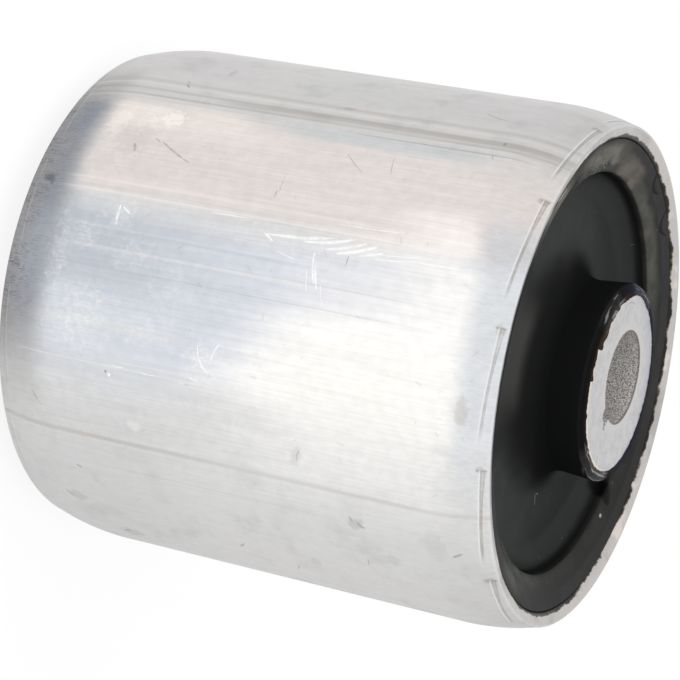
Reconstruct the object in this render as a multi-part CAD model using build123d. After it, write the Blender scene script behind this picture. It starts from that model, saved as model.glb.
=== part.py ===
from build123d import *
import math
import os

# Rubber metal bush, millimetres. Its axis is Z, and it stands on the lower end of its inner sleeve.

# Outer shell: an aluminium tube whose two ends are swaged inwards
shell_diameter = 66.0
shell_wall = 2.0
shell_length = 66.9
swage_length = 8.6  # how far back from each end the tube starts to curl in
swage_radius = 24.5
jaw_band = 2.3  # the last part of the swage, which the jaws press to a straight taper
mouth_chamfer = 0.6  # inside, where the rubber meets the metal

# Imprints of the swaging jaws round each end of the shell
jaw_count = 12
jaw_first_angle = -6.4
jaw_inset = 1.15  # from the end of the shell to the tip of each wedge
jaw_heel_length = 1.6  # along the taper
jaw_heel_width = 1.1  # round the shell, to the wedge's tip
jaw_heel_depth = 0.2

# Inner sleeve: a thick aluminium tube that the bolt passes through
sleeve_diameter = 22.0
sleeve_bore = 12.0
sleeve_stand_out = 3.7  # past each end of the shell
sleeve_chamfer = 0.4
bore_offset = 0.9  # the bore is a little off the centre of the sleeve
bore_offset_angle = 240.0
nick_start_angle = 42.0  # dent in the upper mouth of the bore
nick_end_angle = 65.0
nick_reach = 1.6  # outwards from the wall of the bore, at the tip
nick_shoulder = 1.2  # the same near its start
nick_shoulder_angle = 49.0
nick_depth = 1.5

# Rubber body: moulded round the sleeve, with a ring-shaped hollow in each end
lip_inset = 0.55  # from the end of the shell to the top of the untrimmed lip, inside the shell's wall
lip_setback = 2.4  # this and the other setbacks run inwards from the shell's outer surface
crease_inset = 1.25
crease_setback = 5.65
hollow_inset = 2.34  # to the sharp edge where the hollow begins
hollow_setback = 7.6
hollow_depth = 5.8  # from the end of the shell to the floor
hub_fillet = 4.8
coat_thickness = 1.0  # round the sleeve, above the floor of the hollow
collar_thickness = 1.5  # nearer the end of the sleeve
collar_step = 0.4  # height of the slope from the hub's bend out to the collar
collar_chamfer = 0.4
coat_short = 0.15  # the coat stops this far below the face of the sleeve
blank_share = 0.5  # of the jaw band that the untrimmed rubber follows, inside the shell's wall

# Short tapers that stand in for each moulded bend, which keeps the facets few
hollow_bend_tapers = 4
hub_bend_tapers = 5

# Worked out from the sizes above, with height 0 on the middle plane
shell_radius = shell_diameter / 2
sleeve_radius = sleeve_diameter / 2
half_shell = shell_length / 2
half_sleeve = half_shell + sleeve_stand_out
swage_angle = math.degrees(math.asin((swage_length - jaw_band) / swage_radius))
swage_start = half_shell - swage_length
band_length = jaw_band / math.cos(math.radians(swage_angle))


def outline(*points):
    """Straight edges through points of (radius, height)."""
    return [Line(a, b) for a, b in zip(points, points[1:])]


def ring(upper):
    """The solid of revolution of a section drawn above the middle plane, with the same below it."""
    section = upper + mirror(upper, about=Plane.XZ)
    return revolve(Plane.XZ * section, axis=Axis.Z)


def tapers(bend, count):
    """A bend as short straight edges between points on it."""
    return outline(*[bend @ (step / count) for step in range(count + 1)])


def swage(depth, share=1.0):
    """The swaged end's bend at a depth below the outer surface, and a share of the jaw band."""
    start = (shell_radius - depth, swage_start)
    bend = JernArc(start, (0, 1), swage_radius - depth, swage_angle)
    band = Line(bend @ 1, bend @ 1 + bend % 1 * band_length * share)
    return bend, band


def shell_section():
    """Half of the tube's wall, which thickens a little as the tube is swaged in."""
    outer_bend, outer_band = swage(0)
    inner_bend, inner_band = swage(shell_wall)
    foot = outline(inner_bend @ 0, (shell_radius - shell_wall, 0), (shell_radius, 0), outer_bend @ 0)
    mouth = Line(outer_band @ 1, inner_band @ 1)
    section = make_face(foot + [outer_bend, outer_band, mouth, Line(inner_band @ 1, inner_bend @ 0)])
    return chamfer(section.vertices().sort_by_distance(mouth @ 1)[0], mouth_chamfer)


def jaw_imprint():
    """Cutter for the wedge that the heel of one jaw presses into the taper."""
    band = swage(0)[1]
    radius, height, _ = band @ (1 - jaw_inset / jaw_band)
    half_heel = jaw_heel_length / 2
    wedge = Polygon((0, -half_heel), (jaw_heel_width, 0), (0, half_heel), align=None)
    outward = (1, 0, math.tan(math.radians(swage_angle)))
    on_band = Plane(origin=(radius, 0, height), x_dir=(0, 1, 0), z_dir=outward)
    return extrude(on_band * wedge, jaw_heel_depth, both=True)


def outer_shell():
    imprint = jaw_imprint()
    imprints = []
    for jaw in range(jaw_count):
        upper = Rot(0, 0, jaw_first_angle + jaw * 360 / jaw_count) * imprint
        imprints += [upper, mirror(upper, about=Plane.XY)]
    return ring(shell_section()) - imprints


def polar(radius, degrees):
    return (radius * math.cos(math.radians(degrees)), radius * math.sin(math.radians(degrees)))


def nick():
    """Cutter for the dent in the mouth of the bore, which leans one way like a claw mark."""
    bore_radius = sleeve_bore / 2
    inside = bore_radius - nick_reach
    corners = Polyline(
        polar(inside, nick_start_angle),
        polar(bore_radius + nick_shoulder, nick_shoulder_angle),
        polar(bore_radius + nick_reach, nick_end_angle),
        polar(inside, nick_end_angle),
        close=True,
    )
    return extrude(make_face(corners), nick_depth, both=True)


def inner_sleeve():
    body = Cylinder(sleeve_radius, 2 * half_sleeve)
    body = chamfer(body.edges().filter_by(GeomType.CIRCLE), sleeve_chamfer)
    bore = Cylinder(sleeve_bore / 2, 2 * half_sleeve)
    cutters = bore + Pos(0, 0, half_sleeve) * nick()
    return body - Pos(*polar(bore_offset, bore_offset_angle)) * cutters


def rubber_section():
    """Half of the rubber, a little too wide, so that the shell trims it to a close fit."""
    wall_bend, wall_band = swage(shell_wall / 2, blank_share)
    lip = (shell_radius - lip_setback, half_shell - lip_inset)
    crease = (shell_radius - crease_setback, half_shell - crease_inset)
    edge = (shell_radius - hollow_setback, half_shell - hollow_inset)
    floor = half_shell - hollow_depth
    hub_radius = sleeve_radius + coat_thickness
    collar_radius = sleeve_radius + collar_thickness
    top = half_sleeve - coat_short
    outer_bend = JernArc(edge, (0, -1), edge[1] - floor, -90)
    hub_bend = JernArc((hub_radius + hub_fillet, floor), (-1, 0), hub_fillet, -90)
    collar = [(collar_radius, floor + hub_fillet + collar_step), (collar_radius, top)]
    edges = outline(wall_band @ 1, lip, crease, edge)
    edges += tapers(outer_bend, hollow_bend_tapers)
    edges += outline(outer_bend @ 1, hub_bend @ 0)
    edges += tapers(hub_bend, hub_bend_tapers)
    edges += outline(hub_bend @ 1, *collar, (sleeve_radius, top), (sleeve_radius, 0))
    edges += outline((sleeve_radius, 0), (shell_radius - shell_wall / 2, 0), wall_bend @ 0)
    section = make_face(edges + [wall_bend, wall_band])
    return chamfer(section.vertices().sort_by_distance(collar[-1])[0], collar_chamfer)


def rubber_body(shell):
    return ring(rubber_section()) - shell


os.makedirs("parts", exist_ok=True)
shell = outer_shell()
pieces = {"outer_shell": shell, "rubber_body": rubber_body(shell), "inner_sleeve": inner_sleeve()}
for name, piece in pieces.items():
    stood = Pos(0, 0, half_sleeve) * piece
    export_step(stood, f"parts/{name}.step")
    print(name, round(stood.volume), "mm3", stood.bounding_box().size)
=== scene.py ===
from math import atan2, cos, degrees, exp, hypot, pi, radians, sin, tan

import bmesh
import bpy
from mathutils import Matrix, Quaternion, Vector, noise


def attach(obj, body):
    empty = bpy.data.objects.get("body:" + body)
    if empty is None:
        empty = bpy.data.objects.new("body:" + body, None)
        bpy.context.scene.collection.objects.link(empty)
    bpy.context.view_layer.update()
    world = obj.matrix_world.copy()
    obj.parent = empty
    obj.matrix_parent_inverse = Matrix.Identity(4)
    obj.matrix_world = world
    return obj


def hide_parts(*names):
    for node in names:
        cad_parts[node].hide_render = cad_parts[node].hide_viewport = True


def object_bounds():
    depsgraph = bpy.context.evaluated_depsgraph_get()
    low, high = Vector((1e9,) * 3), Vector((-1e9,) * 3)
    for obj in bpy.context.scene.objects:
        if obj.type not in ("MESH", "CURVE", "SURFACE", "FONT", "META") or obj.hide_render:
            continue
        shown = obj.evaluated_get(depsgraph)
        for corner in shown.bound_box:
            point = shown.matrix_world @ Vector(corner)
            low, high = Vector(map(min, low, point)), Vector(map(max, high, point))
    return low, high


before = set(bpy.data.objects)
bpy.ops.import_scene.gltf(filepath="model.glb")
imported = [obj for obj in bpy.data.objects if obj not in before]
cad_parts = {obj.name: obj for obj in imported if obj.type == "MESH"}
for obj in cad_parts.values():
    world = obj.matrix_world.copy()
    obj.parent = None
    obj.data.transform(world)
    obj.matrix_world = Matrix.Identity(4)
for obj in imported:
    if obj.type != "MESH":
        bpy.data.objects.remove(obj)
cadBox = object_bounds()
print("frame loaded, height", round(cadBox[1][2] * 1000, 2), "mm")

mm = 0.001
middle = round(cadBox[1][2] / mm / 2, 2)  # height of the bush's middle above its foot, in mm
shellRadius = round(cadBox[1][0] / mm, 2)
shellEnd = 33.45  # from the middle to each end of the shell


# a section is a list of corners: radius, height, rounding, segments, cuts to the next corner
def drawSection(corners):
    bm = bmesh.new()
    points = [bm.verts.new((c[0] * mm, 0, (middle + c[1]) * mm)) for c in corners]
    places = [point.co.copy() for point in points]
    for i in range(len(points)):
        bm.edges.new((points[i - 1], points[i]))
    for i, corner in enumerate(corners):
        if corner[2]:
            before = Vector(corners[i - 1][:2]) - Vector(corner[:2])
            after = Vector(corners[(i + 1) % len(corners)][:2]) - Vector(corner[:2])
            reach = corner[2] * tan((pi - before.angle(after)) / 2) * mm
            bmesh.ops.bevel(bm, geom=[points[i]], offset=reach, offset_type="OFFSET", segments=corner[3],
                            profile=0.5, affect="VERTICES", material=-1)
    for i, corner in enumerate(corners):
        if corner[4]:
            edge = straightPart(bm, places[i], places[(i + 1) % len(places)])
            bmesh.ops.subdivide_edges(bm, edges=[edge], cuts=corner[4])
    return bm


# the longest edge that lies on the line from start to end
def straightPart(bm, start, end):
    along = (end - start).normalized()

    def offLine(v):
        return ((v.co - start) - (v.co - start).dot(along) * along).length

    onLine = [e for e in bm.edges if max(offLine(v) for v in e.verts) < 1e-7]
    return max(onLine, key=lambda e: e.calc_length())


# a twelfth of the turn is spun finely, then copied round, which is much quicker than one long spin
def spinSection(bm, steps):
    bmesh.ops.spin(bm, geom=bm.verts[:] + bm.edges[:], cent=(0, 0, 0), axis=(0, 0, 1), angle=pi / 6,
                   steps=steps // 12, use_merge=False, use_duplicate=False)
    bmesh.ops.spin(bm, geom=bm.verts[:] + bm.edges[:] + bm.faces[:], cent=(0, 0, 0), axis=(0, 0, 1),
                   angle=11 * pi / 6, steps=11, use_merge=False, use_duplicate=True)
    bmesh.ops.remove_doubles(bm, verts=bm.verts[:], dist=0.0005 * mm)
    bmesh.ops.recalc_face_normals(bm, faces=bm.faces[:])


# the upper corners, then the same below the middle
def bothEnds(upper, cutLower=True):
    lower = []
    for i in reversed(range(len(upper))):
        radius, height, rounding, segments, _ = upper[i]
        lower.append((radius, -height, rounding, segments, upper[i - 1][4] if cutLower else 0))
    return upper + lower


def smooth(low, high, value):
    share = min(max((value - low) / (high - low), 0), 1)
    return share * share * (3 - 2 * share)


def angleTo(azimuth, target):
    return (azimuth - target + 180) % 360 - 180


# where a vertex is: its radius and height in mm, its azimuth in degrees and the way outwards
def locate(v):
    outward = Vector((v.co.x, v.co.y, 0)).normalized()
    return hypot(v.co.x, v.co.y) / mm, v.co.z / mm - middle, degrees(atan2(v.co.y, v.co.x)), outward


# the value at an azimuth, from a list of (azimuth, value)
def readOff(points, azimuth):
    for (start, low), (end, high) in zip(points, points[1:]):
        if start <= azimuth <= end:
            return low + (high - low) * (azimuth - start) / (end - start)
    return 0.0


def placeMesh(bm, name, material):
    mesh = bpy.data.meshes.new(name)
    bm.to_mesh(mesh)
    bm.free()
    mesh.materials.append(material)
    made = bpy.data.objects.new(name, mesh)
    bpy.context.scene.collection.objects.link(made)
    return made


def finishPiece(bm, name, node, material):
    piece = placeMesh(bm, name, material)
    piece.data.shade_smooth()
    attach(piece, "root")
    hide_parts(node)


# shader helpers
def isSocket(value):
    return isinstance(value, bpy.types.NodeSocket)


def feed(node, inputs):
    for key, value in inputs.items():
        if isSocket(value):
            node.id_data.links.new(value, node.inputs[key])
        else:
            node.inputs[key].default_value = value


# a node in the given tree, or in the one that its inputs come from
def addNode(kind, inputs, tree=None, **settings):
    if tree is None:
        tree = next(value.id_data for value in inputs.values() if isSocket(value))
    made = tree.nodes.new("ShaderNode" + kind)
    for name, value in settings.items():
        setattr(made, name, value)
    feed(made, inputs)
    return made


def calc(operation, *values):
    return addNode("Math", dict(enumerate(values)), operation=operation).outputs[0]


def chain(operation, made, *others):
    for value in others:
        made = calc(operation, made, value)
    return made


def times(*values):
    return chain("MULTIPLY", *values)


def plus(*values):
    return chain("ADD", *values)


def most(*values):
    return chain("MAXIMUM", *values)


def minus(first, second):
    return calc("SUBTRACT", first, second)


def over(first, second):
    return calc("DIVIDE", first, second)


def scaled(value, scale, shift):
    return calc("MULTIPLY_ADD", value, scale, shift)


# how far apart two values are
def apart(first, second):
    return calc("ABSOLUTE", minus(first, second))


def ease(value, low, high, toLow=0.0, toHigh=1.0):
    limits = {"Value": value, "From Min": low, "From Max": high, "To Min": toLow, "To Max": toHigh}
    made = addNode("MapRange", limits, interpolation_type="SMOOTHSTEP", clamp=False)
    return made.outputs["Result"]


def fall(value, low, high):
    return ease(value, low, high, 1.0, 0.0)


# one colour over another, by the product of the shares
def paint(under, upper, *shares, mode="MIX"):
    under, upper = (c if isSocket(c) else (*c, 1.0) for c in (under, upper))
    made = addNode("Mix", {0: times(*shares), 6: under, 7: upper}, data_type="RGBA",
                   blend_type=mode, clamp_factor=True)
    return made.outputs[2]


def addNoise(spot, scale, detail, roughness=0.5):
    settings = {"Vector": spot, "Scale": scale, "Detail": detail, "Roughness": roughness}
    return addNode("TexNoise", settings).outputs[0]


# an input of None is a place, and every other one is a number
def newGroup(name, inputs, numbers=("Mask",), places=()):
    group = bpy.data.node_groups.new(name, "ShaderNodeTree")
    for label, value in inputs.items():
        kind = "NodeSocketVector" if value is None else "NodeSocketFloat"
        socket = group.interface.new_socket(name=label, in_out="INPUT", socket_type=kind)
        if value is not None:
            socket.default_value = value
    for label in (*numbers, *places):
        kind = "NodeSocketVector" if label in places else "NodeSocketFloat"
        group.interface.new_socket(name=label, in_out="OUTPUT", socket_type=kind)
    return group, group.nodes.new("NodeGroupInput").outputs


def closeGroup(group, **outputs):
    feed(group.nodes.new("NodeGroupOutput"), outputs)
    return group


def useGroup(group, inputs, tree=None):
    return addNode("Group", inputs, tree, node_tree=group).outputs


# where a point is on the bush: degrees round the axis, the same in mm, mm along it from the middle
# and mm out from it
def buildPlace():
    numbers = ("Around", "Across", "Along", "Out")
    group, _ = newGroup("placeOnBush", {}, numbers, ("Unrolled", "Solid"))
    where = addNode("TexCoord", {}, group).outputs["Object"]
    solid = addNode("VectorMath", {0: where, "Scale": 1 / mm}, operation="SCALE").outputs[0]
    parts = addNode("SeparateXYZ", {0: solid}).outputs
    around = calc("DEGREES", calc("ARCTAN2", parts["Y"], parts["X"]))
    along = minus(parts["Z"], middle)
    across = times(around, radians(shellRadius))
    unrolled = addNode("CombineXYZ", {0: across, 1: along}).outputs[0]
    return closeGroup(group, Around=around, Across=across, Along=along, Out=fromAxis(parts),
                      Unrolled=unrolled, Solid=solid)


def fromAxis(parts):
    squares = (calc("POWER", parts[axis], 2.0) for axis in "XY")
    return calc("SQRT", plus(*squares))


# a soft-edged patch: From and To are degrees round the bush, Low and High mm along it, and Slant leans
# an end. Streak (-0.5 to 0.5) times Feather pushes its edges about, so that they break up into drawn lines
def buildPatch():
    group, given = newGroup("softPatch", {
        "Around": 0.0, "Along": 0.0, "Streak": 0.0, "From": -5.0, "To": 5.0, "Soft from": 1.0,
        "Soft to": 1.0, "Low": -5.0, "High": 5.0, "Soft low": 1.0, "Soft high": 1.0, "Slant low": 0.0,
        "Slant high": 0.0, "Feather": 0.0})
    push = times(given["Streak"], given["Feather"])
    around = plus(given["Around"], times(push, 0.5))
    along = plus(given["Along"], push)
    turn = minus(given["Around"], given["From"])
    low = plus(given["Low"], times(turn, given["Slant low"]))
    high = plus(given["High"], times(turn, given["Slant high"]))
    mask = 1.0
    for value, edge, soft, rise in ((around, given["From"], "Soft from", ease),
                                    (around, given["To"], "Soft to", fall),
                                    (along, low, "Soft low", ease), (along, high, "Soft high", fall)):
        start = minus(edge, given[soft])
        end = plus(edge, given[soft])
        mask = times(mask, rise(value, start, end))
    return closeGroup(group, Mask=mask)


# a line along the bush that wanders a little with Streak
def buildLine():
    group, given = newGroup("drawnLine", {"Around": 0.0, "Along": 0.0, "Streak": 0.0, "Centre": 0.0,
                                          "Half": 0.5, "Low": -40.0, "High": 40.0})
    around = scaled(given["Streak"], 0.18, given["Around"])
    mask = fall(apart(around, given["Centre"]), 0.0, given["Half"])
    for edge, rise in (("Low", ease), ("High", fall)):
        start = minus(given[edge], 4.0)
        end = plus(given[edge], 4.0)
        mask = times(mask, rise(given["Along"], start, end))
    return closeGroup(group, Mask=mask)


# how far a point is from X and Y, along and across a line that is tilted by Tilt degrees
def turnTo(given):
    aside = minus(given["Across"], given["X"])
    up = minus(given["Along"], given["Y"])
    angle = calc("RADIANS", given["Tilt"])
    cosine, sine = calc("COSINE", angle), calc("SINE", angle)
    first = plus(times(aside, cosine), times(up, sine))
    second = minus(times(up, cosine), times(aside, sine))
    return first, second


# towards a mark's two ends, where reach is 1: reach squared, the room left and the width left
def taper(reach, width):
    square = times(reach, reach)
    room = most(minus(1.0, square), 0.0001)
    return square, room, times(width, calc("SQRT", room))


# one scratch, thin at both ends; Bend bows it
def buildScratch():
    group, given = newGroup("scratch", {"Across": 0.0, "Along": 0.0, "X": 0.0, "Y": 0.0, "Length": 5.0,
                                        "Width": 0.2, "Tilt": 0.0, "Bend": 0.0})
    first, second = turnTo(given)
    reach = over(first, times(given["Length"], 0.5))
    square, room, width = taper(reach, given["Width"])
    bowed = minus(second, times(square, given["Bend"]))
    away = over(calc("ABSOLUTE", bowed), width)
    return closeGroup(group, Mask=times(fall(away, 0.15, 0.6), ease(room, 0.0, 0.3)))


# an oval stain; Cloud is a noise that tears its edge
def buildBlot():
    group, given = newGroup("raggedBlot", {"Across": 0.0, "Along": 0.0, "Cloud": 0.5, "X": 0.0, "Y": 0.0,
                                           "Width": 3.0, "Height": 3.0, "Tilt": 0.0, "Ragged": 0.5,
                                           "Soft": 0.55})
    first, second = turnTo(given)
    aside = over(first, times(given["Width"], 0.5))
    up = over(second, times(given["Height"], 0.5))
    square = plus(times(aside, aside), times(up, up))
    tear = times(minus(given["Cloud"], 0.5), given["Ragged"])
    torn = plus(calc("SQRT", square), tear)
    return closeGroup(group, Mask=fall(torn, minus(1.0, given["Soft"]), 1.0))


# many short marks, one to a cell, each turned its own way within Spread of Direction
def buildScatter():
    group, given = newGroup("scatteredMarks", {"Place": None, "Spacing": 5.0, "Length": 1.5, "Width": 0.15,
                                               "Share": 0.5, "Direction": 90.0, "Spread": 60.0})
    scale = over(1.0, given["Spacing"])
    cells = addNode("TexVoronoi", {"Vector": given["Place"], "Scale": scale},
                    voronoi_dimensions="2D", feature="F1").outputs
    chance = addNode("SeparateColor", {0: cells["Color"]}).outputs
    local = addNode("VectorMath", {0: given["Place"], 1: cells["Position"]}, operation="SUBTRACT")
    turn = plus(given["Direction"], times(minus(chance[0], 0.5), given["Spread"]))
    angle = calc("RADIANS", times(turn, -1.0))
    turned = addNode("VectorRotate", {"Vector": local.outputs[0], "Angle": angle},
                     rotation_type="Z_AXIS").outputs[0]
    parts = addNode("SeparateXYZ", {0: turned}).outputs
    long = times(given["Length"], plus(0.4, chance[2]))
    reach = over(parts["X"], times(long, 0.5))
    _, room, width = taper(reach, given["Width"])
    away = over(calc("ABSOLUTE", parts["Y"]), width)
    there = calc("LESS_THAN", chance[1], given["Share"])
    mark = times(fall(away, 0.15, 0.7), ease(room, 0.0, 0.4))
    return closeGroup(group, Mask=times(mark, there))


# cloudy blotches: Squeeze below 1 draws them out along the axis
def buildBlotches():
    group, given = newGroup("blotches", {"Place": None, "Size": 4.0, "Squeeze": 1.0, "Low": 0.4,
                                         "High": 0.7, "Detail": 3.0, "Shift": 0.0})
    scale = addNode("CombineXYZ", {0: 1.0, 1: 1.0, 2: given["Squeeze"]}).outputs[0]
    drawn = addNode("VectorMath", {0: given["Place"], 1: scale}, operation="MULTIPLY").outputs[0]
    shift = addNode("CombineXYZ", {0: given["Shift"], 2: given["Shift"]}).outputs[0]
    moved = addNode("VectorMath", {0: drawn, 1: shift}, operation="ADD").outputs[0]
    cloud = addNoise(moved, over(1.0, given["Size"]), given["Detail"], 0.55)
    return closeGroup(group, Mask=ease(cloud, given["Low"], given["High"]))


place = buildPlace()
patch = buildPatch()
line = buildLine()
scratch = buildScratch()
blot = buildBlot()
scatter = buildScatter()
blotches = buildBlotches()


# edges: from, soft, to, soft (degrees), low, soft, high, soft (mm)
def patchMask(around, along, edges, **more):
    names = ("From", "Soft from", "To", "Soft to", "Low", "Soft low", "High", "Soft high")
    return useGroup(patch, {"Around": around, "Along": along, **dict(zip(names, edges)), **more})[0]


# mark: around (degrees), up, length, width (mm), tilt, bend, on a surface of that radius
def scratchMask(across, up, radius, mark):
    names = ("X", "Y", "Length", "Width", "Tilt", "Bend")
    mark = (radians(mark[0]) * radius, *mark[1:])
    return useGroup(scratch, {"Across": across, "Along": up, **dict(zip(names, mark))})[0]


def scratchMarks(across, up, radius, marks):
    return most(*(scratchMask(across, up, radius, mark) for mark in marks))


# marks: spacing, length, width (mm), share of the cells, direction, spread
def scatterMask(spot, marks):
    names = ("Spacing", "Length", "Width", "Share", "Direction", "Spread")
    return useGroup(scatter, {"Place": spot, **dict(zip(names, marks))})[0]


def startMaterial(name):
    material = bpy.data.materials.new(name)
    material.use_nodes = True
    return material, material.node_tree, material.node_tree.nodes["Principled BSDF"]


# distance in mm
def addBump(height, strength, distance):
    settings = {"Strength": strength, "Distance": distance * mm, "Height": height}
    return addNode("Bump", settings).outputs[0]


# outer shell
shellSettings = {
    "steps": 900,
    "section": [
        (shellRadius, 28.054, 24.5, 10, 18),
        (31.565, shellEnd, 0.35, 4, 2),
        (29.64, 32.936, 0.8, 5, 2),
        (31.0, 27.7, 22.0, 4, 0),
    ],
    "wallCuts": 12,
    "firstJaw": -6.6,  # degrees round the shell to the heel of one jaw's line
    "lowerShift": 11.0,  # the same jaws stand a little further round at the lower end
    "lowerShare": 0.3,  # and press less deeply there
    "jawPitch": 30.0,
    "jawSweep": 25.5,
    "lineInset": (0.78, 1.45),  # from the end of the shell, at the heel and where the line runs out
    "lineRadius": 31.6,
    "lineHalf": 0.08,
    "lineSoft": 0.08,
    "lineFade": (0.85, 1.0),  # the shares of its sweep between which a line runs out
    "heelHalf": 0.13,  # more, at the heel
    "heelRun": 5.0,  # mm from the heel to where the line is thin
    "headInset": 0.98,  # the flat head of a jaw, at the heel
    "headHalf": 0.68,
    "headSoft": (0.8, 0.6),
    "headRun": (0.45, 0.1),
    "pressDepth": 0.06,
    "pressFrom": 31.2,  # nearer the axis nothing is pressed
    "pressWithin": 3.2,  # mm from the end
    "waveFrom": 31.5,
    "waviness": 0.018,
    "waveScale": (140, 140, 45),
    "rimNicks": [(6.5, 0.2, 0.09), (57.1, 0.35, 0.08), (77.5, 0.3, 0.08)],  # azimuth, inset, depth
    "nickReach": 0.25,
}


def pressJaws(bm, settings):
    start, end = settings["lineInset"]
    for v in bm.verts:
        radius, height, azimuth, outward = locate(v)
        inset = shellEnd - abs(height)
        if radius < settings["pressFrom"] or inset > settings["pressWithin"]:
            continue
        upper = height > 0
        shift = 0 if upper else settings["lowerShift"]
        turn = (azimuth - settings["firstJaw"] - shift) % settings["jawPitch"]
        run = radians(turn) * radius
        swept = turn / settings["jawSweep"]
        half = settings["lineHalf"] + settings["heelHalf"] * max(0, 1 - run / settings["heelRun"])
        away = abs(inset - start - swept * (end - start))
        depth = exp(-(away / (half + settings["lineSoft"])) ** 2)
        depth *= 1 - smooth(*settings["lineFade"], swept)
        head = smooth(*settings["headRun"], run)
        head *= smooth(*settings["headSoft"], abs(inset - settings["headInset"]))
        depth = max(depth, head) * settings["pressDepth"] * (1 if upper else settings["lowerShare"])
        for nick, nickInset, nickDepth in settings["rimNicks"] if upper else ():
            reach = hypot(radians(angleTo(azimuth, nick)) * radius, inset - nickInset)
            depth += nickDepth * exp(-(reach / settings["nickReach"]) ** 2)
        v.co -= outward * depth * mm


def ripple(bm, settings):
    for v in bm.verts:
        radius, _, _, outward = locate(v)
        if radius > settings["waveFrom"]:
            wave = noise.noise(Vector([c * scale for c, scale in zip(v.co, settings["waveScale"])]))
            v.co += outward * settings["waviness"] * wave * mm


# the dark line along each jaw's crease, and beside it a pale line: a painted highlight along the raised
# edge
def buildJawMark(settings):
    group, given = newGroup("jawMark", {"Around": 0.0, "Along": 0.0}, ("Press", "Burr"))
    start, end = settings["lineInset"]
    lower = calc("LESS_THAN", given["Along"], 0.0)
    first = scaled(lower, settings["lowerShift"], settings["firstJaw"])
    turn = calc("FLOORED_MODULO", minus(given["Around"], first), settings["jawPitch"])
    run = times(turn, radians(settings["lineRadius"]))
    inset = minus(shellEnd, calc("ABSOLUTE", given["Along"]))
    across = minus(inset, scaled(turn, (end - start) / settings["jawSweep"], start))
    thin = most(scaled(run, -1 / settings["heelRun"], 1.0), 0.0)
    half = scaled(thin, settings["heelHalf"], settings["lineHalf"])
    away = minus(calc("ABSOLUTE", across), half)
    inside = ease(away, -0.06, 0.06, 0.35, 0.0)
    edge = ease(calc("ABSOLUTE", away), 0.02, 0.16, 0.7, 0.0)
    fade = times(fall(turn, 20.0, settings["jawSweep"]), ease(turn, 0.0, 0.4),
                 scaled(lower, settings["lowerShare"] - 1, 1.0))
    offHead = apart(inset, settings["headInset"])
    head = times(fall(run, 0.2, 0.42),
                 ease(offHead, settings["headHalf"] - 0.15, settings["headHalf"], 0.9, 0.0))
    aside = minus(across, half)
    # painted highlight beside the crease
    burr = times(ease(aside, 0.06, 0.16), fall(aside, 0.2, 0.36), fade)
    return closeGroup(group, Press=times(most(inside, edge, head), fade), Burr=burr)


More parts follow.
